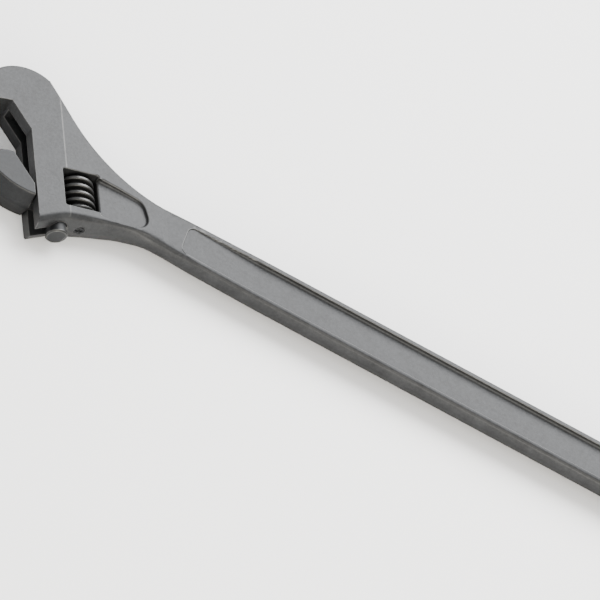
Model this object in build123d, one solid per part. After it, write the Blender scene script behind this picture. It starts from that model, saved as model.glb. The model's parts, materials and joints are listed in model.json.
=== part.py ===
from build123d import *
import os
from math import cos, pi, radians, sin, tan

# Adjustable wrench with hexagon-gripping jaws, in millimetres.
#
# Everything is drawn in the head's own axes and moved to the part's frame at the end:
#   a  behind the head's front face, towards the handle (drawing X)
#   b  up the jaw's slide, towards the fixed jaw (drawing Y), 0 at the hexagon's back corner
#   z  through the thickness, 0 at the forging's parting plane
# Part frame: origin at the middle of the fixed jaw's gripping face, X along the handle,
# Z through the thickness.

# Overall
HEAD_HALF = 15.0            # half the head's thickness
HANDLE_HALF = 7.7           # half the handle's thickness
NECK_HALF = 8.2             # half the neck's thickness, where the head's slope ends
HANDLE_TILT = 22.5          # between the handle and the direction square to the slide
DRAFT = 12.0                # forging draft on each side of the parting plane, degrees
STOCK = 14.0                # metal in front of the head that the throat cut takes away
PARTING_ROUND = 10.0        # radius that softens the parting line
FAR = 120.0                 # past everything nearby, for cutters
WHOLE = 700.0               # past the handle's end

# Slopes of the thickness
CREASE_A = 26.0             # the head's even thickness ends at this crease
SLOPE_END_A = 108.0         # and its slope here
NECK_FROM = 118.0           # the neck thins a little more between these two, along the handle
NECK_TO = 136.0

# Jaws
OPENING = 46.0              # between the gripping faces at rest
FACET = OPENING / 3 ** 0.5  # one side of the hexagon that fits the rest opening
FACET_A = FACET * sin(radians(30))
GRIP_B = FACET * cos(radians(30))
CROWN = (22.0, 48.6)        # where the fixed jaw's arc meets the head's back
JAW_NOSE = -41.4            # a of the fixed jaw's nose
SLIDING_NOSE = -44.0
JAW_GAP = 1.2               # between the sliding jaw's root and the head's front face
ROOT_TOP = -49.0
ROOT_LOW = -61.2

# Sliding jaw's round bar, web and rack
BAR_A = 19.7
BAR_R = 8.5
BAR_LOW = -83.3
BAR_TOP = -34.2
BAR_CHAMFER = 1.0
BORE_CLEAR = 0.1
BORE_TOP = 13.0
WEB_THICK = 9.0
WEB_TOP = -36.5
SLOT_WIDE = 9.4
SLOT_TOP = 21.0
RACK_TIP_FLAT = 0.4         # taken off the bar's side where the rack's tooth tips are

# Worm, its pin and its spring
WORM_A = 38.6
WORM_R = 13.7
WORM_LOW = -61.9
WORM_TOP = -31.0
PITCH = 6.4
THREAD_DEEP = 3.6
THREAD_HALF_CREST = 1.05
THREAD_BURY = 0.4           # the thread starts this far inside the core
THREAD_FLANK = 18.0         # degrees
RACK_SIDE_CLEAR = 0.2
RACK_ROOT_CLEAR = 0.4
RACK_MESH_R = 12.8          # worm radius whose lead angle the rack's gaps follow
PIN_R = 3.6
PIN_CLEAR = 0.06
PIN_HEAD_R = 4.2
PIN_HEAD_LONG = 9.0
PIN_LOW = -74.4            # a little inside the underside
PIN_TOP = -19.0
PIN_SLOT = 1.5
COUNTERBORE_R = 6.9
COUNTERBORE_DEEP = 13.0
SPRING_R = 5.45             # to the middle of the wire
WIRE_R = 0.65
SPRING_TURNS = 5
SPRING_END_GAP = 0.1

# Worm window, the thumb hollows beside it and the handle's panels
WINDOW_LOW = (23.0, -62.7)
WINDOW_HIGH = (52.8, -30.2)
WINDOW_CORNER = 1.5
HOLLOW_END = 96.0
HOLLOW_FLOOR = (8.2, 6.6)   # floor heights beside the window and at the round end
PANEL_START = 139.0         # along the handle, as are the next three
PANEL_FULL = 200.0
PANEL_END = 525.0
HANDLE_END = 568.0
PANEL_SHALLOW = 7.0         # floor height where the panel starts
WEB_HALF = 3.9              # floor height of the full panel
RIB = 4.2
PANEL_CORNER = 6.0
HANG_R = 8.0
HANG_X = 545.0

# Handle's sides at the parting plane
HANDLE_MID = -16.7
HALF_WIDE = 19.9
TOP_Y = HANDLE_MID + HALF_WIDE
LOW_Y = HANDLE_MID - HALF_WIDE
WIDE_FROM = 205.0

SIDE_VIEW = Plane(origin=(0, 0, 0), x_dir=(1, 0, 0), z_dir=(0, -1, 0))


def on_handle(x, y):
    """Drawing point of a handle point: x along the handle, y across it."""
    t = radians(HANDLE_TILT)
    return (x * cos(t) + y * sin(t), y * cos(t) - x * sin(t))


def slab(face, low, high):
    """Straight prism of a drawing between two heights."""
    return Pos(0, 0, low) * extrude(face, high - low, dir=(0, 0, 1))


def drafted(face):
    """Forging blank: the drawing is its parting plane, and both sides taper away from it."""
    half = extrude(face, HEAD_HALF, dir=(0, 0, 1), taper=DRAFT)
    return half + mirror(half, Plane.XY)


def outline(*points):
    return make_face(Polyline(*points, close=True))


def mirrored(cutter):
    """The same cut in the front and the back of the wrench."""
    return cutter + mirror(cutter, Plane.XY)


def upright(a, radius, low, high):
    """Cylinder along the slide direction."""
    axis = Plane(origin=(a, low, 0), x_dir=(-1, 0, 0), z_dir=(0, 1, 0))
    return axis * Cylinder(radius, high - low, align=(Align.CENTER, Align.CENTER, Align.MIN))


# ---------------------------------------------------------------- body forging


def body_outline():
    back_and_underside = FilletPolyline(
        CROWN,
        on_handle(67, 1.1),
        on_handle(WIDE_FROM, TOP_Y),
        on_handle(HANDLE_END, TOP_Y),
        on_handle(HANDLE_END, LOW_Y),
        on_handle(WIDE_FROM, LOW_Y),
        on_handle(102.7, -35.0),
        (22, -76.4),
        (-STOCK, -89.6),
        radius=[137, 400, 17, 17, 400, 76, 45],
    )
    jaw_arc = ThreePointArc(CROWN, (-3.8, 58.7), (JAW_NOSE, 26))
    front_stock = Polyline((JAW_NOSE, 26), (JAW_NOSE, 6), (-STOCK, 6), (-STOCK, -89.6))
    return make_face([back_and_underside, jaw_arc, front_stock])


def thickness_envelope():
    """Even head, a slope that starts at a crease across the head, then the handle's flats."""
    head = outline((-FAR, -HEAD_HALF), (-FAR, HEAD_HALF), (CREASE_A, HEAD_HALF),
                   (SLOPE_END_A, HANDLE_HALF), (WHOLE, HANDLE_HALF), (WHOLE, -HANDLE_HALF),
                   (SLOPE_END_A, -HANDLE_HALF), (CREASE_A, -HEAD_HALF))
    handle = outline((-FAR, -30), (-FAR, 30), (20, 20), (NECK_FROM, NECK_HALF),
                     (NECK_TO, HANDLE_HALF), (WHOLE, HANDLE_HALF), (WHOLE, -HANDLE_HALF),
                     (NECK_TO, -HANDLE_HALF), (NECK_FROM, -NECK_HALF), (20, -20))
    head_prism = extrude(SIDE_VIEW * head, WHOLE, both=True)
    neck_prism = extrude(SIDE_VIEW * handle, WHOLE, both=True)
    return head_prism, Rot(0, 0, -HANDLE_TILT) * neck_prism


def throat():
    """Straight machined faces of the front, the hexagon facet and the fixed jaw's grip."""
    return slab(outline((0, -FAR), (0, 0), (-FACET_A, GRIP_B), (-FAR, GRIP_B), (-FAR, -FAR)),
                -FAR, FAR)


def slide_ways():
    """Round bore for the bar and the slot that its web passes through."""
    bore = upright(BAR_A, BAR_R + BORE_CLEAR, -FAR, BORE_TOP)
    slot = slab(outline((-FAR, -FAR), (BAR_A, -FAR), (BAR_A, SLOT_TOP), (-FAR, SLOT_TOP)),
                -SLOT_WIDE / 2, SLOT_WIDE / 2)
    return bore + slot


def worm_window():
    low, high = WINDOW_LOW, WINDOW_HIGH
    frame = FilletPolyline(low, (high[0], low[1]), high, (low[0], high[1]),
                           radius=WINDOW_CORNER, close=True)
    return slab(make_face(frame), -FAR, FAR)


def pin_hole():
    shaft = upright(WORM_A, PIN_R, -FAR, PIN_TOP)
    head = upright(WORM_A, PIN_HEAD_R, -FAR, PIN_LOW + PIN_HEAD_LONG)
    return shaft + head


def thumb_hollow():
    """Recess from the window to a round end near the neck; its floor falls with the slope."""
    low, high = WINDOW_LOW, WINDOW_HIGH
    near, far = HOLLOW_FLOOR
    floor = outline((high[0] - 2, near), (HOLLOW_END, far), (HOLLOW_END, HEAD_HALF + 1),
                    (high[0] - 2, HEAD_HALF + 1))
    rim = FilletPolyline(
        (high[0] - 1, low[1] - 2.6), (70, -69.6), (94, -66), (89.5, -45.0), (70, -37.5),
        (high[0] - 1, high[1] - 1.2), radius=[25, 9, 11, 60], close=False)
    closing = Line((high[0] - 1, high[1] - 1.2), (high[0] - 1, low[1] - 2.6))
    recess = slab(make_face([rim, closing]), 0, FAR)
    return recess & extrude(SIDE_VIEW * floor, FAR, both=True)


def handle_panel():
    """Recess between the handle's ribs; its floor falls away from a shallow start."""
    high = HANDLE_MID + HALF_WIDE - HANDLE_HALF * tan(radians(DRAFT)) - RIB
    low = 2 * HANDLE_MID - high
    start, end = PANEL_START, PANEL_END
    rim = FilletPolyline((start, low + 1), (WIDE_FROM, low), (end, low), (end, high),
                         (WIDE_FROM, high), (start, high - 1.6),
                         radius=[PANEL_CORNER, 400, 13, 13, 400, PANEL_CORNER], close=True)
    recess = slab(make_face(rim), 0, HEAD_HALF)
    floor = outline((start - 5, PANEL_SHALLOW), (start, PANEL_SHALLOW), (PANEL_FULL, WEB_HALF),
                    (end + 5, WEB_HALF), (end + 5, HEAD_HALF), (start - 5, HEAD_HALF))
    return Rot(0, 0, -HANDLE_TILT) * (recess & extrude(SIDE_VIEW * floor, FAR, both=True))


def hang_hole():
    a, b = on_handle(HANG_X, HANDLE_MID)
    return Pos(a, b, 0) * Cylinder(HANG_R, FAR)


def rounded_parting(forging, kept):
    """Softens the line where the two drafts meet, except on stock that a cutter takes."""
    line = [e for e in forging.edges()
            if abs(e.center().Z) < 0.01
            and all(abs(v.Z) < 0.01 for v in e.vertices())
            and kept(e.center())]
    return fillet(line, PARTING_ROUND)


def make_body():
    head_prism, neck_prism = thickness_envelope()
    blank = drafted(body_outline()) & head_prism & neck_prism
    forging = rounded_parting(blank, lambda middle: middle.X > 0 or middle.Y > 30)
    forging -= throat()
    forging -= mirrored(thumb_hollow())
    forging -= mirrored(handle_panel())
    forging -= worm_window()
    forging -= slide_ways()
    forging -= pin_hole()
    forging -= hang_hole()
    return forging


# ---------------------------------------------------------------- worm and rack


def thread_half_width(depth, spare=0.0):
    """Half the thread's width at a depth below its crest."""
    return THREAD_HALF_CREST + depth * tan(radians(THREAD_FLANK)) + spare


def make_worm():
    long = WORM_TOP - WORM_LOW
    root_r = WORM_R - THREAD_DEEP
    middle = long / 2
    first = middle - 3 * PITCH          # a thread centre on the rack's side, below the worm
    inner, outer = root_r - THREAD_BURY, WORM_R
    path = Pos(0, 0, first) * Helix(pitch=PITCH, height=6 * PITCH, radius=inner, lefthand=True)
    wide, narrow = thread_half_width(THREAD_DEEP + THREAD_BURY), thread_half_width(0)
    section = Plane(origin=(0, 0, first), x_dir=(1, 0, 0), z_dir=(0, -1, 0)) * outline(
        (inner, -wide), (outer, -narrow), (outer, narrow), (inner, wide))
    thread = sweep(section, path=path, is_frenet=True)
    core = Pos(0, 0, middle) * Cylinder(root_r, long + 3 * PITCH)
    ends = Pos(0, 0, middle) * Cylinder(WORM_R + 1, long)
    worm = (core + thread) & ends
    worm -= Cylinder(PIN_R + PIN_CLEAR, 3 * long)
    worm -= Pos(0, 0, long - COUNTERBORE_DEEP) * Cylinder(
        COUNTERBORE_R, COUNTERBORE_DEEP, align=(Align.CENTER, Align.CENTER, Align.MIN))
    return Plane(origin=(WORM_A, WORM_LOW, 0), x_dir=(-1, 0, 0), z_dir=(0, 1, 0)) * worm


def rack_gap(b):
    """One gap between rack teeth, tilted to the worm's lead."""
    crest = WORM_A - WORM_R - RACK_ROOT_CLEAR
    mouth = BAR_A + BAR_R + 2
    narrow = thread_half_width(-RACK_ROOT_CLEAR, RACK_SIDE_CLEAR)
    wide = thread_half_width(mouth - crest - RACK_ROOT_CLEAR, RACK_SIDE_CLEAR)
    section = outline((crest, -narrow), (mouth, -wide), (mouth, wide), (crest, narrow))
    lean = PITCH / (2 * pi * RACK_MESH_R)
    bar = extrude(section, 12, both=True, dir=(0, -lean, 1))
    return Pos(0, b, 0) * bar


def make_sliding_jaw():
    nose_b = GRIP_B - OPENING
    blank = make_face([
        ThreePointArc((4, ROOT_LOW - 1.6), (-25, -52.4), (SLIDING_NOSE, -29)),
        Polyline((SLIDING_NOSE, -29), (SLIDING_NOSE, -12), (4, -12), (4, ROOT_LOW - 1.6))])
    jaw = rounded_parting(drafted(blank), lambda middle: middle.Y < -35)
    nested = outline((-JAW_GAP, -FAR), (-JAW_GAP, ROOT_TOP), corner_on_facet(nose_b),
                     (-FAR, nose_b), (-FAR, -FAR))
    jaw = jaw & slab(nested, -FAR, FAR)
    web = slab(outline((-JAW_GAP - 4, ROOT_LOW + 1.5), (BAR_A, ROOT_LOW + 1.5), (BAR_A, WEB_TOP),
                       (BAR_A - 11, WEB_TOP), (-JAW_GAP, ROOT_TOP), (-JAW_GAP - 4, ROOT_TOP)),
               -WEB_THICK / 2, WEB_THICK / 2)
    bar = upright(BAR_A, BAR_R, BAR_LOW, BAR_TOP)
    bar = chamfer(bar.edges().filter_by(GeomType.CIRCLE), BAR_CHAMFER)
    tip = BAR_A + BAR_R - RACK_TIP_FLAT
    bar -= slab(outline((tip, -FAR), (tip + 20, -FAR), (tip + 20, FAR), (tip, FAR)), -FAR, FAR)
    middle = (WORM_LOW + WORM_TOP) / 2
    for turn in range(-6, 3):
        bar -= rack_gap(middle + turn * PITCH)
    return jaw + web + bar


def corner_on_facet(b):
    """Where a line at b crosses the sliding jaw's facet, which rises from the root's top."""
    return (-JAW_GAP - (b - ROOT_TOP) * tan(radians(30)), b)


def make_worm_pin():
    pin = upright(WORM_A, PIN_R, PIN_LOW, PIN_TOP)
    pin += upright(WORM_A, PIN_HEAD_R, PIN_LOW, PIN_LOW + PIN_HEAD_LONG)
    slot = Pos(WORM_A, PIN_LOW, 0) * Box(FAR, 2 * PIN_SLOT, PIN_SLOT)
    return pin - slot


def make_worm_spring():
    low = WORM_TOP - COUNTERBORE_DEEP + WIRE_R + SPRING_END_GAP
    high = WINDOW_HIGH[1] - WIRE_R - SPRING_END_GAP
    rise = high - low
    path = Helix(pitch=rise / SPRING_TURNS, height=rise, radius=SPRING_R)
    wire = sweep(Plane(origin=path @ 0, z_dir=path % 0) * Circle(WIRE_R), path=path, is_frenet=True)
    return Plane(origin=(WORM_A, low, 0), x_dir=(-1, 0, 0), z_dir=(0, 1, 0)) * wire


def to_frame(part):
    middle_of_grip = ((JAW_NOSE - FACET_A) / 2, GRIP_B)
    return Rot(0, 0, HANDLE_TILT) * Pos(-middle_of_grip[0], -middle_of_grip[1], 0) * part


os.makedirs("parts", exist_ok=True)
pieces = {
    "body": make_body(),
    "sliding_jaw": make_sliding_jaw(),
    "worm": make_worm(),
    "worm_pin": make_worm_pin(),
    "worm_spring": make_worm_spring(),
}
for name, piece in pieces.items():
    export_step(to_frame(piece), f"parts/{name}.step")
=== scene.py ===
import json
from math import ceil, cos, hypot, pi, radians, sin, sqrt

import bmesh
import bpy
import numpy as np
from mathutils import Matrix, Vector, geometry
from mathutils.bvhtree import BVHTree
from mathutils.kdtree import KDTree


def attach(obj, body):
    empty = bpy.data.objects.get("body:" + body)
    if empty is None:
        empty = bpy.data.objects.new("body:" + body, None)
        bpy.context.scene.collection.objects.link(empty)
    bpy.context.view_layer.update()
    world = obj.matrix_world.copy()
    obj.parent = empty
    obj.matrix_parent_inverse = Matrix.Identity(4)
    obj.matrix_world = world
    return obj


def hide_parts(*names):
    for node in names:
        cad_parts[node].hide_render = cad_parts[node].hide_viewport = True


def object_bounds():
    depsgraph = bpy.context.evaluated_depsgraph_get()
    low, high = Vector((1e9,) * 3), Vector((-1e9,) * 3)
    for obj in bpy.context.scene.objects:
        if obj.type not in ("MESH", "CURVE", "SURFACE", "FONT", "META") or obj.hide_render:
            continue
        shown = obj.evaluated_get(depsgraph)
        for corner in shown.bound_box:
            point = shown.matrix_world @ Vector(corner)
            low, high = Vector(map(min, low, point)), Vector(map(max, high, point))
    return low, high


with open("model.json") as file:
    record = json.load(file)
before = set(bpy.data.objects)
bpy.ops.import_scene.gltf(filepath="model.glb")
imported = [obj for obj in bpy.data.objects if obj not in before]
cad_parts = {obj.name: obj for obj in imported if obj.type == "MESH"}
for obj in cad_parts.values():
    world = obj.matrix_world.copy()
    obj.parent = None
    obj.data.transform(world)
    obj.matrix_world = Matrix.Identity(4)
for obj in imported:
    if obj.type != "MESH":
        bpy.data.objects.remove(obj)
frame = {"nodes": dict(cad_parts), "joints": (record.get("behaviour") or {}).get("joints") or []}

cad_box = [list(corner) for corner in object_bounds()]

# Large adjustable wrench: a grey forging with a worm-driven sliding jaw. Metres, in the frame
# of the CAD: origin on the fixed jaw's grip, X along the handle, Z through the thickness.
# "Head axes" below are a (behind the head's front face), b (up the slide) and z.

MM = 0.001
UP = -Vector(frame["joints"][0]["axis"])          # up the slide
BACK = UP.cross(Vector((0, 0, 1)))                # a
GRIP_A = -27.34 * MM                              # head axes of the frame's origin
GRIP_B = 23.0 * MM
FACET_A = -13.28 * MM                             # where the grip meets the hexagon's facet
HEAD_HALF = 15.0 * MM                             # half thicknesses: head,
HANDLE_HALF = 7.7 * MM                            # handle,
NECK_HALF = 8.2 * MM                              # and neck where its two slopes meet
CREASE_A = 26.0 * MM                              # the head's flats slope away from here
HEAD_SLOPE = 0.08902                              # fall of the flats behind the crease
NECK_SLOPE = 0.12041                              # and along the neck
NECK_FROM = 152.06 * MM                           # the neck's two slopes meet here,
NECK_TO = 170.06 * MM                             # and the handle's flats start here
HANDLE_MID = -27.49 * MM                          # across the handle
BAR_A = 19.7 * MM                                 # a of the jaw's round bar
BAR_R = 8.5 * MM
SLOT_HALF = 4.7 * MM                              # half width of the slot in the head
SLOT_TOP = 21.0 * MM                              # b where the slot ends
WORM_A = 38.6 * MM                                # a of the worm and its pin
WORM_R = 13.7 * MM
WORM_ROOT = 10.1 * MM
WORM_LOW = -61.9 * MM                             # b of the worm's ends
WORM_TOP = -31.0 * MM
WORM_BORE = 3.66 * MM
COUNTERBORE_R = 6.9 * MM
COUNTERBORE_DEEP = 13.0 * MM
PITCH = 6.4 * MM
PIN_R = 3.6 * MM
PIN_HEAD_R = 4.2 * MM
PIN_LOW = -74.4 * MM                              # b of the pin's seen end,
PIN_STEP = -65.4 * MM                             # of its step
PIN_TOP = -19.0 * MM                              # and of its hidden end
HOLE_X = 579.06 * MM                              # the hanging hole
HOLE_R = 8.0 * MM
WINDOW = [(23.0, -62.7), (52.8, -62.7), (52.8, -30.2), (23.0, -30.2)]       # head axes, mm
HOLLOW = [(51.8, -65.3), (70, -69.6), (94, -66), (89.5, -45), (70, -37.5), (51.8, -31.4)]
HOLLOW_SPAN = (50.8, 96.0)                        # its floor falls between these a, mm
HOLLOW_FLOOR = (8.2, 6.6)                         # its heights there
PANEL = [(173.1, -40.6), (239.1, -41.55), (559.1, -41.55), (559.1, -13.43), (239.1, -13.43),
         (173.1, -15.0)]                                                    # frame, mm
PANEL_START = 173.1 * MM                          # the panel's floor falls between these x,
PANEL_FULL = 234.1 * MM
PANEL_SHALLOW = 7.0 * MM                          # from this height
PANEL_FLOOR = 3.9 * MM                            # to this one
JAW_RIM = 1.3 * MM                                # radius round the sliding jaw's flats
FRONT_LOW = -81 * MM                              # b of the head's lower front corner


def head_axes(p):
    """a and b of a point in the frame."""
    x, y = p[0], p[1]
    return x * BACK.x + y * BACK.y + GRIP_A, x * UP.x + y * UP.y + GRIP_B


def from_head(a, b, z=0.0):
    """Point in the frame with the given head axes."""
    return BACK * (a - GRIP_A) + UP * (b - GRIP_B) + Vector((0, 0, z))


def smoothstep(low, high, x):
    t = min(1.0, max(0.0, (x - low) / (high - low)))
    return t * t * (3 - 2 * t)


def blend(first, second, t):
    return first + (second - first) * t


# ---------------------------------------------------------------- rounding a CAD forging


def gap_outside(corners, x, y):
    """Distance outside a convex outline drawn counter-clockwise in millimetres."""
    gap = -1.0
    for (x0, y0), (x1, y1) in zip(corners, corners[1:] + corners[:1]):
        long = sqrt((x1 - x0) ** 2 + (y1 - y0) ** 2)
        gap = max(gap, ((x - x0 * MM) * (y1 - y0) - (y - y0 * MM) * (x1 - x0)) / long)
    return gap


def throat_distance(a, b):
    """How far a point is from the machined faces: front, hexagon facet and fixed grip."""
    corners = [(0, -0.2), (0, 0), (FACET_A, GRIP_B), (-0.06, GRIP_B)]
    best = 1.0
    for (a0, b0), (a1, b1) in zip(corners, corners[1:]):
        da, db = a1 - a0, b1 - b0
        t = max(0.0, min(1.0, ((a - a0) * da + (b - b0) * db) / (da * da + db * db)))
        best = min(best, sqrt((a - a0 - t * da) ** 2 + (b - b0 - t * db) ** 2))
    return best


def flat_height(a, x):
    """Height of the forging's flats over the parting plane: head, slope, neck, handle."""
    slope = HEAD_HALF - HEAD_SLOPE * max(0.0, a - CREASE_A)
    if x < NECK_FROM:
        neck = NECK_HALF + NECK_SLOPE * (NECK_FROM - x)
    else:
        neck = NECK_HALF - (NECK_HALF - HANDLE_HALF) * (x - NECK_FROM) / (NECK_TO - NECK_FROM)
    return max(HANDLE_HALF, min(slope, neck))


def panel_depth(x):
    """Depth of the handle's panel, which deepens from its start."""
    t = min(1.0, max(0.0, (x - PANEL_START) / (PANEL_FULL - PANEL_START)))
    return HANDLE_HALF - blend(PANEL_SHALLOW, PANEL_FLOOR, t)


def hollow_depth(a, x):
    """Depth of the thumb hollow under the head's flats, its floor falling away."""
    t = (a / MM - HOLLOW_SPAN[0]) / (HOLLOW_SPAN[1] - HOLLOW_SPAN[0])
    floor = blend(*HOLLOW_FLOOR, min(1.0, max(0.0, t))) * MM
    return flat_height(a, x) - floor


def body_radii(p):
    """Convex and concave edge radii of the body forging's details near a point."""
    a, b = head_axes(p)
    convex, concave = 0.8 * MM, 0.8 * MM
    near = 1 - smoothstep(1 * MM, 4 * MM, gap_outside(HOLLOW, a, b))
    if near > 0:
        depth = hollow_depth(a, p[0])
        convex = blend(convex, min(1.6 * MM, 0.38 * depth), near)
        concave = blend(concave, min(3.4 * MM, 0.58 * depth), near)
    near = 1 - smoothstep(0.6 * MM, 3 * MM, gap_outside(PANEL, p[0], p[1]))
    if near > 0:
        depth = panel_depth(p[0])
        convex = blend(convex, min(0.6 * MM, 0.3 * depth), near)
        concave = blend(concave, min(2.8 * MM, 0.68 * depth), near)
    machined = 1 - smoothstep(0.3 * MM, 4 * MM, throat_distance(a, b))
    convex, concave = blend(convex, 0.4 * MM, machined), blend(concave, 0.1 * MM, machined)
    if a < BAR_A + BAR_R + 1 * MM:
        bored = 1 - smoothstep(BAR_R + 0.5 * MM, BAR_R + 2 * MM, abs(p[2]))
        convex, concave = blend(convex, 0.25 * MM, bored), blend(concave, 0.03 * MM, bored)
    return convex, concave


def body_outer_radius(p):
    """Radius between the forging's flats and its outer sides."""
    a, b = head_axes(p)
    back = smoothstep(10 * MM, 110 * MM, a)
    below = 1 - smoothstep(-72 * MM, -52 * MM, b)
    beside_hollow = 1 - smoothstep(3 * MM, 8 * MM, gap_outside(HOLLOW, a, b))
    head = blend(blend(1.3, 3.4, back), 4.4, below) * (1 - 0.35 * beside_hollow)
    handle = blend(2.4, 1.9, smoothstep(-6 * MM, 6 * MM, p[1] - HANDLE_MID))
    return blend(head, handle, smoothstep(96 * MM, 135 * MM, a)) * MM


def jaw_radii(p):
    """Convex and concave edge radii of the sliding jaw, smaller on its web and bar."""
    a, _ = head_axes(p)
    web = 1 - smoothstep(SLOT_HALF, SLOT_HALF + 0.4 * MM, abs(p[2]))
    inner = max(web, smoothstep(0.1 * MM, 0.4 * MM, a)) * smoothstep(-1.3 * MM, -1.1 * MM, a)
    return blend(0.5, 0.15, inner) * MM, blend(0.1, 0.02, inner) * MM


def jaw_outer_radius(_):
    return JAW_RIM


def is_body_side(face):
    """The forging's outer side, all round its drawing but for the machined front."""
    middle = face.calc_center_median()
    a, b = head_axes(middle)
    if abs(face.normal.z) > 0.7 or throat_distance(a, b) < 0.1 * MM:
        return False
    if abs(face.normal.z) < 0.15 and abs(middle.z) > 3.5 * MM:        # no draft: a recess's wall
        return False
    if gap_outside(WINDOW, a, b) < 0.4 * MM:
        return False
    if (middle - Vector((HOLE_X, HANDLE_MID, middle.z))).length < HOLE_R + 1 * MM:
        return False
    bored = abs(face.normal.dot(UP)) < 0.3 or b > WINDOW[0][1] * MM
    in_bore = bored and sqrt((a - BAR_A) ** 2 + middle.z ** 2) < BAR_R + 0.3 * MM
    in_pin_hole = bored and sqrt((a - WORM_A) ** 2 + middle.z ** 2) < PIN_HEAD_R + 0.2 * MM
    in_slot = abs(middle.z) < SLOT_HALF and a < BAR_A and abs(b) < SLOT_TOP + 0.2 * MM
    return not (in_bore or in_pin_hole or in_slot)


def is_jaw_side(face):
    """The sliding jaw's forged side, but for its milled upper faces."""
    a, _ = head_axes(face.calc_center_median())
    return abs(face.normal.z) < 0.7 and a < -1.3 * MM and face.normal.dot(UP) < 0.3


def joined_faces(node):
    """A CAD node's mesh with its coplanar triangles joined into flat faces."""
    bm = bmesh.new()
    bm.from_mesh(frame["nodes"][node].data)
    bmesh.ops.remove_doubles(bm, verts=bm.verts, dist=1e-6)
    bmesh.ops.dissolve_limit(bm, angle_limit=radians(0.3), verts=bm.verts, edges=bm.edges,
                             use_dissolve_boundaries=False, delimit=set())
    bm.normal_update()
    bm.verts.ensure_lookup_table()
    bm.edges.ensure_lookup_table()
    bm.faces.ensure_lookup_table()
    return bm


def push_from(normals):
    """Move that takes a corner one unit away from each of its faces."""
    return Vector(np.linalg.lstsq(np.array(normals), np.ones(len(normals)), rcond=0.12)[0])


ROWS = (0.16, 0.38, 0.65, 1.02, 1.4)              # rows beside an edge, in radii
PALE_EDGE_REACH = 0.75 * MM                            # how far the pale band beside an edge reaches: partly rubbed bare steel, partly painted highlight
CREASE_ROW = 0.6 * MM                             # reach of the rows beside the head's crease
EDGE_SAMPLE = 0.4 * MM                            # spacing of the points that stand for an edge
SMOOTH_ANGLE = radians(16)                        # faces that meet flatter than this run on


def edge_reach(edge, radii, side_faces, outer_radius):
    """How far from an edge its rounding reaches, or 0 where faces run on smoothly."""
    middle = (edge.verts[0].co + edge.verts[1].co) / 2
    angle = edge.calc_face_angle(0.0)
    if angle < SMOOTH_ANGLE:
        flats = all(abs(f.normal.z) > 0.9 for f in edge.link_faces)
        return CREASE_ROW if flats and angle > radians(1) else 0.0
    outer = len({f.index in side_faces for f in edge.link_faces}) == 2
    if outer and any(abs(f.normal.z) > 0.9 for f in edge.link_faces):
        return outer_radius(middle)
    convex, concave = radii(middle)
    return max(convex, PALE_EDGE_REACH) if edge.is_convex else concave


def edge_stations(edge, reach_at, step):
    """Where an edge is divided: evenly, and closer together towards edges that are rounded."""
    start, end = edge.verts[0].co, edge.verts[1].co
    long = (end - start).length
    count = max(1, ceil(long / step(start + (end - start) / 2)))
    stations = {i / count for i in range(1, count)}
    clear_from, clear_to = 0.0, 1.0
    for is_end, vertex in enumerate(edge.verts):
        reach = max((reach_at[e.index] for e in vertex.link_edges if e != edge), default=0)
        near = [k * reach / long for k in ROWS if reach and k * reach < 0.45 * long]
        limit = near[-1] * 1.25 if near else 0
        if is_end:
            stations = {s for s in stations if s < 1 - limit} | {1 - n for n in near}
            clear_to = 1 - 1.5 * reach / long
        else:
            stations = {s for s in stations if s > limit} | set(near)
            clear_from = 1.5 * reach / long
    return [(start.lerp(end, s), clear_from < s < clear_to) for s in sorted(stations)]


def segment_distances(points, starts, ends):
    """Least distance of each 2-D point to any segment."""
    best = np.full(len(points), np.inf)
    for s, e in zip(starts, ends):
        d = e - s
        t = np.clip(((points - s) @ d) / max(d @ d, 1e-18), 0, 1)
        best = np.minimum(best, np.hypot(*(points - s - t[:, None] * d).T))
    return best


def rows_beside(flat, reaches):
    """Points in rows inside a ring, each row level with the ring's own points."""
    count = len(flat)
    inward = []
    for i in range(count):
        d = flat[(i + 1) % count] - flat[i]
        inward.append(np.array((-d[1], d[0])) / max(np.hypot(*d), 1e-12))
    rows = []
    for i in range(count):
        before, after = reaches[i - 1], reaches[i]
        reach = max(before, after)
        if not reach:
            continue
        if before and after:
            way = (inward[i - 1] + inward[i]) / max(1 + inward[i - 1] @ inward[i], 0.4)
        else:
            way = inward[i] if after else inward[i - 1]
        rows += [(*(flat[i] + way * k * reach), k * reach) for k in ROWS]
    return np.array(rows)


def fill_face(face, ring, reaches, grid):
    """Triangles of one flat face with rows of points beside its rounded edges."""
    normal = face.normal
    across = normal.orthogonal().normalized()
    along = normal.cross(across)
    origin = ring[0]
    flat = np.array([((p - origin).dot(across), (p - origin).dot(along)) for p in ring])
    ends = np.roll(flat, -1, axis=0)
    extra = np.zeros((0, 2))
    rows = rows_beside(flat, reaches)
    if len(rows):
        room = segment_distances(rows[:, :2], flat, ends)
        extra = rows[room > 0.8 * rows[:, 2], :2]
    low, high = flat.min(0), flat.max(0)
    if (high - low).min() > grid:
        xs = np.arange(low[0] + grid / 2, high[0], grid)
        ys = np.arange(low[1] + grid / 2, high[1], grid)
        inner = np.stack(np.meshgrid(xs, ys), -1).reshape(-1, 2)
        inner = inner[segment_distances(inner, flat, ends) > 0.9 * grid]
        extra = np.concatenate([extra, inner])
    points = [Vector(p) for p in np.concatenate([flat, extra])]
    loop = list(range(len(ring)))
    verts, _, faces, origins, _, _ = geometry.delaunay_2d_cdt(points, [], [loop], 1, 1e-9)
    solid = [origin + across * v[0] + along * v[1] for v in verts]
    return solid, faces, origins


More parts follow.
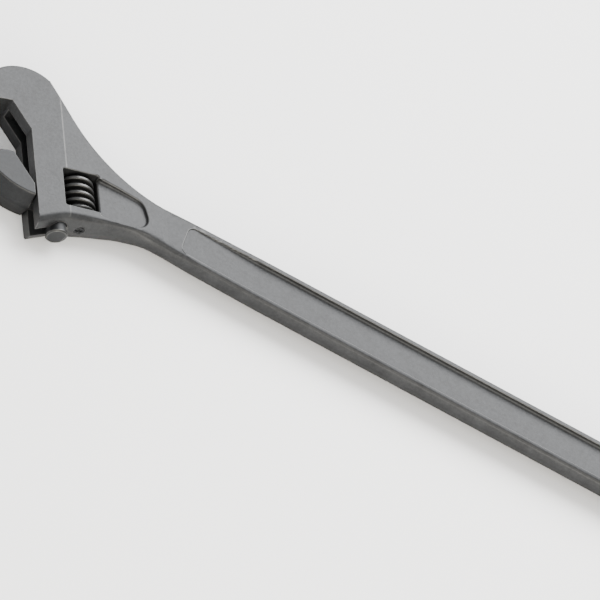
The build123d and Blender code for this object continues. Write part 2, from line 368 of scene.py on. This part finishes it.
def divided_edges(bm, reach_at, step):
    """Points along every edge, each edge's numbers among them, and the moves of clear ones."""
    points = [v.co.copy() for v in bm.verts]
    pushes = {v.index: push_from([f.normal[:] for f in v.link_faces]) for v in bm.verts}
    between = []
    for e in bm.edges:
        added = edge_stations(e, reach_at, step)
        between.append(list(range(len(points), len(points) + len(added))))
        push = push_from([f.normal[:] for f in e.link_faces])
        for point, is_clear in added:
            if is_clear:
                pushes[len(points)] = push
            points.append(point)
    return points, pushes, between


def face_ring(face, between, reach_at):
    """Numbers of the points round a face, and the reach of the edge that each one starts."""
    ring, reaches = [], []
    for loop in face.loops:
        inner = between[loop.edge.index]
        forward = loop.edge.verts[0] == loop.vert
        run = [loop.vert.index] + (inner if forward else inner[::-1])
        ring += run
        reaches += [reach_at[loop.edge.index]] * len(run)
    return ring, reaches


def refined_mesh(bm, radii, outer_radius, side_faces, step, grid, material_of):
    """Points, triangles and material numbers of a divided solid, with what offsets need.

    An offset surface is made from each face's outline alone, and from its points that are
    clear of the corners: pushes holds those points' moves, and outlines the faces' rings.
    """
    reach_at = [edge_reach(e, radii, side_faces, outer_radius) for e in bm.edges]
    points, pushes, between = divided_edges(bm, reach_at, step)
    triangles, materials, outlines = [], [], []
    for f in bm.faces:
        ring, reaches = face_ring(f, between, reach_at)
        outlines.append([i for i in ring if i in pushes])
        solid, faces, origins = fill_face(f, [points[i] for i in ring], reaches, grid)
        index = []
        for place, origin in zip(solid, origins):
            known = [i for i in origin if i < len(ring)]
            if known:
                index.append(ring[known[0]])
            else:
                index.append(len(points))
                points.append(place)
        triangles += [[index[i] for i in tri] for tri in faces]
        materials += [material_of(f)] * len(faces)
    return points, triangles, materials, pushes, outlines


def edge_samples(bm, is_convex):
    """Close points along the sharp edges of one kind."""
    found = []
    for e in bm.edges:
        if e.calc_face_angle(0.0) < SMOOTH_ANGLE or e.is_convex != is_convex:
            continue
        start, end = e.verts[0].co, e.verts[1].co
        count = ceil((end - start).length / EDGE_SAMPLE) + 1
        found += [start.lerp(end, i / count) for i in range(count + 1)]
    tree = KDTree(len(found))
    for i, p in enumerate(found):
        tree.insert(p, i)
    tree.balance()
    return tree


def rolled(p, edges, offset, radius_at):
    """A point near a sharp edge, brought to the sphere rolled along the offset faces."""
    edge, _, gap = edges.find(p)
    radius = radius_at(edge)
    if gap > 1.8 * radius:
        return p
    centre, _, _, far = offset.find_nearest(p)
    if far <= radius * 1.002:
        return p
    return centre + (p - centre) * (radius / far)


def offset_tree(points, pushes, outlines, sizes, sign):
    """Tree of the faces moved outward (sign 1) or inward (-1) by each point's radius."""
    moved = [p.copy() for p in points]
    for i, push in pushes.items():
        moved[i] += push * sizes[i] * sign
    return BVHTree.FromPolygons(moved, outlines)


def outer_move(p, side_tree, height, radius):
    """Move that rounds the corner between a flat and the outer side near a point."""
    down = height - abs(p.z)
    if down >= radius:
        return Vector()
    _, normal, _, inset = side_tree.find_nearest(p)
    if inset >= radius:
        return Vector()
    far = sqrt((radius - inset) ** 2 + (radius - down) ** 2)
    if far <= radius:
        return Vector()
    flat_normal = Vector((0, 0, 1 if p.z > 0 else -1))
    towards = (normal * (radius - inset) + flat_normal * (radius - down)) / far
    return towards * (radius - far)


def crease_highlight(p):
    """Painted highlight along the crease across the head, carried in the same value as the edge
    wear.
    """
    a, _ = head_axes(p)
    on_flat = smoothstep(-1.2 * MM, -0.6 * MM, abs(p.z) - flat_height(a, p.x))
    return 0.6 * on_flat * (1 - smoothstep(0.25 * MM, 0.8 * MM, abs(a - CREASE_A)))


def edge_wear_and_highlight(p, convex_edges, side_tree, height, outer_radius):
    """How pale a rounded edge is painted, partly as rubbed bare steel and partly as painted
    highlight, less where the rounding is large.
    """
    edge, _, gap = convex_edges.find(p)
    worn_and_lit = 1 - smoothstep(0.2 * MM, PALE_EDGE_REACH, gap)
    if worn_and_lit > 0 and outer_move(edge, side_tree, height(edge), outer_radius(edge)).length:
        worn_and_lit *= 1 - smoothstep(1.3 * MM, 3 * MM, outer_radius(edge))
    return worn_and_lit


def rounded_forging(name, node, radii, outer_radius, is_side, height, ridge, step, grid,
                    material_of):
    """Mesh of a CAD node with its convex edges rounded and its concave ones filleted.

    A point near a convex edge is brought to the sphere of that radius rolled inside the solid,
    and one near a concave edge to the sphere rolled outside it. Points on flat stretches stay.
    The corner between the flats and the forged outer side is then rounded more.
    """
    bm = joined_faces(node)
    side_faces = {f.index for f in bm.faces if is_side(f)}
    corners = [v.co for v in bm.verts]
    side_tree = BVHTree.FromPolygons(corners, [[v.index for v in bm.faces[i].verts]
                                               for i in side_faces])
    points, triangles, materials, pushes, outlines = refined_mesh(
        bm, radii, outer_radius, side_faces, step, grid, material_of)
    sizes = [radii(p) for p in points]
    inside = offset_tree(points, pushes, outlines, [convex for convex, _ in sizes], -1)
    outside = offset_tree(points, pushes, outlines, [concave for _, concave in sizes], 1)
    convex_edges, concave_edges = edge_samples(bm, True), edge_samples(bm, False)
    placed, wear_and_highlight = [], []
    for p in points:
        q = rolled(p, concave_edges, outside, lambda at: radii(at)[1])
        q = rolled(q, convex_edges, inside, lambda at: radii(at)[0])
        move = outer_move(q, side_tree, height(q), outer_radius(q))
        placed.append(q + move)
        # pale edge value: rubbed steel plus a painted highlight; the crease adds a painted highlight
        # line
        worn_and_lit = edge_wear_and_highlight(p, convex_edges, side_tree, height, outer_radius)
        wear_and_highlight.append(max(worn_and_lit, ridge(p)))
    bm.free()
    mesh = bpy.data.meshes.new(name)
    mesh.from_pydata(placed, [], triangles)
    mesh.polygons.foreach_set("material_index", materials)
    layer = mesh.attributes.new("edge_wear_and_highlight", "FLOAT", "POINT")
    layer.data.foreach_set("value", wear_and_highlight)
    return linked_piece(name, mesh, 34)


def linked_piece(name, mesh, sharp_degrees):
    finish_mesh(mesh, sharp_degrees)
    piece = bpy.data.objects.new(name, mesh)
    bpy.context.scene.collection.objects.link(piece)
    return piece


def new_piece(name, points, faces, sharp_degrees):
    mesh = bpy.data.meshes.new(name)
    mesh.from_pydata(points, [], faces)
    return linked_piece(name, mesh, sharp_degrees)


def finish_mesh(mesh, sharp_degrees):
    """Merges doubled points, drops loose ones and sets the shading."""
    tidy = bmesh.new()
    tidy.from_mesh(mesh)
    bmesh.ops.remove_doubles(tidy, verts=tidy.verts, dist=2e-6)
    loose = [v for v in tidy.verts if not v.link_faces]
    bmesh.ops.delete(tidy, geom=loose, context="VERTS")
    bmesh.ops.recalc_face_normals(tidy, faces=tidy.faces)
    tidy.to_mesh(mesh)
    tidy.free()
    mesh.shade_smooth()
    mesh.set_sharp_from_angle(angle=radians(sharp_degrees))


# ---------------------------------------------------------------- materials


class Tree:
    """A material's nodes, made and joined by short calls."""

    def __init__(self, name):
        self.material = bpy.data.materials.new(name)
        self.material.use_nodes = True
        self.nodes = self.material.node_tree.nodes
        self.links = self.material.node_tree.links
        self.shader = self.nodes["Principled BSDF"]

    def add(self, kind, **settings):
        node = self.nodes.new("ShaderNode" + kind)
        for key, value in settings.items():
            if key.startswith("in_"):
                node.inputs[int(key[3:])].default_value = value
            else:
                setattr(node, key, value)
        return node

    def join(self, out, into):
        self.links.new(out, into)

    def maths(self, operation, first, second=None, clamp=False):
        node = self.add("Math", operation=operation, use_clamp=clamp)
        for socket, value in zip(node.inputs, (first, second)):
            if value is None:
                continue
            if isinstance(value, (int, float)):
                socket.default_value = value
            else:
                self.join(value, socket)
        return node.outputs[0]

    def noise(self, where, scale, detail=4.0, rough=0.55):
        node = self.add("TexNoise")
        node.inputs["Scale"].default_value = scale
        node.inputs["Detail"].default_value = detail
        node.inputs["Roughness"].default_value = rough
        self.join(where, node.inputs["Vector"])
        return node.outputs["Fac"]

    def ramp(self, fac, stops):
        node = self.add("ValToRGB")
        ramp = node.color_ramp
        while len(ramp.elements) < len(stops):
            ramp.elements.new(0.5)
        for element, (place, colour) in zip(ramp.elements, stops):
            element.position = place
            element.color = (*colour, 1)
        self.join(fac, node.inputs[0])
        return node.outputs[0]

    def mix(self, fac, first, second):
        node = self.add("Mix", data_type="RGBA")
        for socket, value in zip((node.inputs[0], node.inputs[6], node.inputs[7]),
                                 (fac, first, second)):
            if isinstance(value, tuple):
                socket.default_value = (*value, 1)
            elif isinstance(value, (int, float)):
                socket.default_value = value
            else:
                self.join(value, socket)
        return node.outputs[2]

    def bump(self, height, distance, strength=1.0, under=None):
        node = self.add("Bump")
        node.inputs["Strength"].default_value = strength
        node.inputs["Distance"].default_value = distance
        self.join(height, node.inputs["Height"])
        if under is not None:
            self.join(under, node.inputs["Normal"])
        return node.outputs[0]


def place(tree):
    return tree.add("TexCoord").outputs["Object"]


def forged_skin(name, colour, worn_and_lit):
    """Grey phosphated forging: blasted grain, cloudy tone, and paler edges that are partly rubbed
    steel and partly painted highlight.
    """
    tree = Tree(name)
    where = place(tree)
    cloud = tree.noise(where, 55, 6, 0.62)
    mottle = tree.noise(where, 420, 3, 0.55)
    grain = tree.noise(where, 1300, 3, 0.6)
    tone = tree.maths("ADD", tree.maths("MULTIPLY", cloud, 0.9), tree.maths("MULTIPLY", mottle, 0.6))
    tone = tree.maths("ADD", tone, tree.maths("MULTIPLY", grain, 0.7))
    dark, light = tuple(c * 0.55 for c in colour), tuple(c * 1.45 for c in colour)
    base = tree.ramp(tree.maths("DIVIDE", tone, 2.2), [(0.36, dark), (0.64, light)])
    edge = tree.add("Attribute", attribute_name="edge_wear_and_highlight").outputs["Fac"]
    # pale edge band: partly rubbed bare steel, partly a painted highlight along the rounded edge
    rub_and_highlight = tree.maths("MULTIPLY", edge, tree.maths("ADD", tree.noise(where, 160, 3), 0.15))
    rub_and_highlight = tree.maths("MULTIPLY", rub_and_highlight, 1.1, clamp=True)
    tree.join(tree.mix(rub_and_highlight, base, worn_and_lit), tree.shader.inputs["Base Color"])
    rough = tree.maths("ADD", tree.maths("MULTIPLY", cloud, 0.14), 0.42)
    rough = tree.maths("SUBTRACT", rough, tree.maths("MULTIPLY", rub_and_highlight, 0.12))
    tree.join(rough, tree.shader.inputs["Roughness"])
    fine = tree.bump(grain, 0.06 * MM, 0.6)
    coarse = tree.bump(mottle, 0.12 * MM, 0.4, under=fine)
    tree.join(coarse, tree.shader.inputs["Normal"])
    tree.shader.inputs["Metallic"].default_value = 0.55
    tree.shader.inputs["Specular IOR Level"].default_value = 0.35
    return tree.material


def ground_steel(name, colour, rough):
    """Milled face: fine cutter lines through the thickness, a little dull."""
    tree = Tree(name)
    where = place(tree)
    stretched = tree.add("Mapping")
    stretched.inputs["Scale"].default_value = (1, 1, 0.02)
    tree.join(where, stretched.inputs["Vector"])
    lines = tree.noise(stretched.outputs[0], 2600, 2, 0.5)
    cloud = tree.noise(where, 70, 4)
    tint = tuple(c * 0.8 for c in colour)
    tree.join(tree.mix(cloud, tint, colour), tree.shader.inputs["Base Color"])
    tree.join(tree.maths("ADD", tree.maths("MULTIPLY", lines, 0.2), rough),
              tree.shader.inputs["Roughness"])
    tree.join(tree.bump(lines, 0.02 * MM, 0.4), tree.shader.inputs["Normal"])
    tree.shader.inputs["Metallic"].default_value = 0.8
    return tree.material


def worm_skin(name):
    """Blackened steel, dark in the thread's roots as oily steel and painted shade, paler on its
    crests as rubbed steel and painted highlight.
    """
    tree = Tree(name)
    where = place(tree)
    cloud = tree.noise(where, 160, 4)
    axis_side = from_head(WORM_A, 0)
    shift = tree.add("VectorMath", operation="SUBTRACT")
    tree.join(where, shift.inputs[0])
    shift.inputs[1].default_value = axis_side
    around = tree.add("VectorMath", operation="CROSS_PRODUCT")
    tree.join(shift.outputs[0], around.inputs[0])
    around.inputs[1].default_value = UP
    radial = tree.add("VectorMath", operation="LENGTH")
    tree.join(around.outputs[0], radial.inputs[0])
    crest = tree.add("MapRange", interpolation_type="SMOOTHSTEP")
    crest.inputs["From Min"].default_value = WORM_ROOT + 2.6 * MM
    crest.inputs["From Max"].default_value = WORM_R + 0.1 * MM
    tree.join(radial.outputs["Value"], crest.inputs["Value"])
    rubbed_and_lit = tree.maths("MULTIPLY", crest.outputs[0], tree.maths("ADD", cloud, 0.45), clamp=True)
    # near-black root colour is partly painted shade; the paler crest colour is partly painted
    # highlight
    tree.join(tree.mix(rubbed_and_lit, (0.005, 0.005, 0.0046), (0.04, 0.04, 0.04)),
              tree.shader.inputs["Base Color"])
    tree.join(tree.maths("SUBTRACT", 0.55, tree.maths("MULTIPLY", rubbed_and_lit, 0.22)),
              tree.shader.inputs["Roughness"])
    tree.shader.inputs["Metallic"].default_value = 0.6
    return tree.material


def paint(piece, *materials):
    piece.data.materials.clear()
    for material in materials:
        piece.data.materials.append(material)


# ---------------------------------------------------------------- the pieces


FORGED, MILLED, TURNED = 0, 1, 2          # material numbers of a forging's faces


def body_material(face):
    a, b = head_axes(face.calc_center_median())
    is_throat = throat_distance(a, b) < 0.1 * MM and abs(face.normal.z) < 0.1
    return MILLED if is_throat else FORGED


def jaw_material(face):
    """The sliding jaw's gripping face, facet, root and web are milled, its bar is turned."""
    middle = face.calc_center_median()
    a, b = head_axes(middle)
    if a > 4 * MM and (b < -62 * MM or a > BAR_A - BAR_R):
        return TURNED
    if a > -1.3 * MM or (abs(face.normal.z) < 0.1 and face.normal.dot(UP) > 0.3):
        return MILLED
    return FORGED


def body_step(p):
    return (2.0 if p[0] < NECK_FROM else 4.4) * MM


def make_body(*materials):
    piece = rounded_forging("body_forging", "body", body_radii, body_outer_radius, is_body_side,
                            lambda p: flat_height(head_axes(p)[0], p.x), crease_highlight,
                            body_step, 4 * MM, body_material)
    paint(piece, *materials)
    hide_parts("body")
    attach(piece, "wrench_body")


def make_jaw(*materials):
    piece = rounded_forging("sliding_jaw_forging", "sliding_jaw", jaw_radii, jaw_outer_radius,
                            is_jaw_side, lambda p: HEAD_HALF, lambda p: 0.0,
                            lambda p: 1.2 * MM, 3 * MM, jaw_material)
    paint(piece, *materials)
    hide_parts("sliding_jaw")
    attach(piece, "jaw")


def pin_recess(aside, over):
    """Depth of the driver slot and the staking marks in the pin's end."""
    slot = 1.4 * MM * (1 - smoothstep(0.55 * MM, 0.85 * MM, abs(over)))
    cross = 0.9 * MM * (1 - smoothstep(0.35 * MM, 0.7 * MM, abs(aside + 0.4 * over)))
    skew = 0.6 * MM * (1 - smoothstep(0.25 * MM, 0.55 * MM, abs(aside - 0.9 * over)))
    return max(slot, cross, skew) * (1 - smoothstep(2.7 * MM, 3.4 * MM, hypot(aside, over)))


def turned_points(columns, profile):
    """Points of a solid turned about the worm's axis, ring by ring, from (radius, b) pairs."""
    points = []
    for r, b in profile:
        for column in range(columns):
            turn = 2 * pi * column / columns
            aside, over = -r * cos(turn), r * sin(turn)
            points.append((aside, b, over))
    return points


def make_pin(material):
    """Screwed-in pin that the worm turns on, its end slotted and staked."""
    columns, rings = 72, 15
    flat_r = PIN_HEAD_R - 0.4 * MM
    profile = [(flat_r * (ring + 0.5) / rings, PIN_LOW) for ring in range(rings)]
    profile += [(flat_r, PIN_LOW), (PIN_HEAD_R, PIN_LOW + 0.4 * MM), (PIN_HEAD_R, PIN_STEP),
                (PIN_R, PIN_STEP), (PIN_R, PIN_TOP - 0.5 * MM), (PIN_R - 0.5 * MM, PIN_TOP)]
    points = []
    for aside, b, over in turned_points(columns, profile):
        cut = pin_recess(aside, over) if b == PIN_LOW else 0
        points.append(from_head(WORM_A + aside, b + cut, over))
    faces = [list(range(columns))]
    for ring in range(len(profile) - 1):
        for column in range(columns):
            here, there = ring * columns + column, ring * columns + (column + 1) % columns
            faces.append((here, there, there + columns, here + columns))
    faces.append(list(range(len(points) - columns, len(points))))
    piece = new_piece("worm_pin_screw", points, faces, 40)
    paint(piece, material)
    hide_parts("worm_pin")
    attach(piece, "wrench_body")


def worm_radius(turn, b):
    """Thread profile: rounded crests and roots, with the ends chamfered."""
    middle = (WORM_LOW + WORM_TOP) / 2
    centre = middle - PITCH * turn
    off = abs((b - centre + PITCH / 2) % PITCH - PITCH / 2)
    thread = blend(WORM_R, WORM_ROOT, smoothstep(0.75 * MM, 2.5 * MM, off))
    from_end = min(b - WORM_LOW, WORM_TOP - b)
    return min(thread, WORM_R - 1.3 * MM + 1.2 * from_end)


WORM_COLUMNS = 144                                # around the worm
ROWS_PER_PITCH = 20


def worm_point(turn, b, radius):
    aside, over = -cos(2 * pi * turn), sin(2 * pi * turn)
    return from_head(WORM_A + aside * radius, b, over * radius)


def worm_thread():
    """Points and faces of the threaded outside, the rows running with the thread."""
    rows = ceil((WORM_TOP - WORM_LOW) / PITCH * ROWS_PER_PITCH) + ROWS_PER_PITCH + 1
    points = []
    for column in range(WORM_COLUMNS):
        turn = column / WORM_COLUMNS
        for row in range(rows):
            b = WORM_LOW + PITCH * (row / ROWS_PER_PITCH - turn)
            b = max(WORM_LOW, min(WORM_TOP, b))
            points.append(worm_point(turn, b, worm_radius(turn, b)))
    faces = []
    for column in range(WORM_COLUMNS):
        shift = ROWS_PER_PITCH if column == WORM_COLUMNS - 1 else 0
        here, there = column * rows, (column + 1) % WORM_COLUMNS * rows
        for row in range(rows - 1):
            low, high = max(0, row - shift), max(0, row + 1 - shift)
            faces.append((here + row, here + row + 1, there + high, there + low))
    return points, faces


def worm_band(first, b0, r0, b1, r1):
    """One ring of faces between two circles, a radius of None being the thread's own."""
    points, faces = [], []
    for column in range(WORM_COLUMNS):
        turn = column / WORM_COLUMNS
        for b, r in ((b0, r0), (b1, r1)):
            points.append(worm_point(turn, b, worm_radius(turn, b) if r is None else r))
        here, there = first + 2 * column, first + 2 * ((column + 1) % WORM_COLUMNS)
        faces.append((here, here + 1, there + 1, there))
    return points, faces


def make_worm(material):
    """Left-hand worm with its bore and the counterbore that holds the spring."""
    points, faces = worm_thread()
    ends = [(WORM_LOW, None), (WORM_LOW, WORM_BORE), (WORM_TOP - COUNTERBORE_DEEP, WORM_BORE),
            (WORM_TOP - COUNTERBORE_DEEP, COUNTERBORE_R), (WORM_TOP, COUNTERBORE_R),
            (WORM_TOP, None)]
    for (b0, r0), (b1, r1) in zip(ends, ends[1:]):
        more_points, more_faces = worm_band(len(points), b0, r0, b1, r1)
        points += more_points
        faces += more_faces
    piece = new_piece("worm_screw", points, faces, 50)
    paint(piece, material)
    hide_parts("worm")
    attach(piece, "screw")


# ---------------------------------------------------------------- stage, light and camera


def lamp(name, size, power, place, aim, colour=(1, 1, 1)):
    data = bpy.data.lights.new(name, "AREA")
    data.shape = "DISK"
    data.size = size
    data.energy = power
    data.color = colour
    light = bpy.data.objects.new(name, data)
    light.location = place
    light.rotation_euler = (Vector(aim) - Vector(place)).to_track_quat("-Z", "Y").to_euler()
    bpy.context.scene.collection.objects.link(light)


def make_stage():
    low = cad_box[0][2]
    mesh = bpy.data.meshes.new("floor")
    reach = 6.0
    mesh.from_pydata([(-reach, -reach, low), (reach, -reach, low), (reach, reach, low),
                      (-reach, reach, low)], [], [(0, 1, 2, 3)])
    floor = bpy.data.objects.new("floor", mesh)
    bpy.context.scene.collection.objects.link(floor)
    tree = Tree("pale_floor")
    tree.shader.inputs["Base Color"].default_value = (0.9, 0.9, 0.9, 1)
    tree.shader.inputs["Roughness"].default_value = 0.8
    paint(floor, tree.material)
    lamp("overhead", 2.6, 285, (0.75, 1.85, 2.0), (0.3, 0, 0))
    lamp("front", 2.4, 50, (0.3, -2.4, 1.6), (0.2, 0, 0), (1.0, 0.96, 0.88))
    lamp("right", 1.0, 46, (1.0, -1.7, 0.45), (0.05, 0, 0), (1.0, 0.94, 0.82))
    world = bpy.data.worlds.new("studio")
    world.use_nodes = True
    world.node_tree.nodes["Background"].inputs[0].default_value = (1, 1, 1, 1)
    world.node_tree.nodes["Background"].inputs[1].default_value = 1.1
    bpy.context.scene.world = world


VIEW_RIGHT = Vector((0.871, 0.271, 0.408))
VIEW_BACK = Vector((-0.141, -0.658, 0.738))
VIEW_DISTANCE = 16.0
VIEW_WIDE = 441.8 * MM                     # what the frame shows across
VIEW_CORNER = (191.5 * MM, -59.6 * MM)     # from the head's lower front corner to mid-frame


def make_camera():
    back = VIEW_BACK.normalized()
    right = (VIEW_RIGHT - back * VIEW_RIGHT.dot(back)).normalized()
    up = back.cross(right)
    corner = from_head(0, FRONT_LOW, HEAD_HALF)
    target = corner + right * VIEW_CORNER[0] + up * VIEW_CORNER[1]
    data = bpy.data.cameras.new("camera")
    data.sensor_width = 36
    data.lens = 36 * VIEW_DISTANCE / VIEW_WIDE
    data.clip_end = 60
    camera = bpy.data.objects.new("camera", data)
    turn = np.array([right[:], up[:], back[:]]).T
    matrix = np.eye(4)
    matrix[:3, :3] = turn
    matrix[:3, 3] = target + back * VIEW_DISTANCE
    camera.matrix_world = Matrix(matrix.tolist())
    bpy.context.scene.collection.objects.link(camera)
    bpy.context.scene.camera = camera


skin = forged_skin("phosphated_forging", (0.0215, 0.0222, 0.0232), (0.075, 0.075, 0.073))
# the jaw and pin skin is darker than the body's: partly the jaw's own darker finish, partly painted
# shade for the shadow under the jaw
jaw_skin = forged_skin("darker_forging_and_painted_shade", (0.009, 0.0097, 0.0106), (0.06, 0.06, 0.058))
milled = ground_steel("milled_steel", (0.036, 0.037, 0.033), 0.3)
turned = ground_steel("turned_steel", (0.11, 0.12, 0.13), 0.16)
blackened = worm_skin("blackened_thread")
make_body(skin, milled)
make_jaw(jaw_skin, milled, turned)
make_worm(blackened)
make_pin(jaw_skin)
paint(frame["nodes"]["worm_spring"], turned)
make_stage()
make_camera()
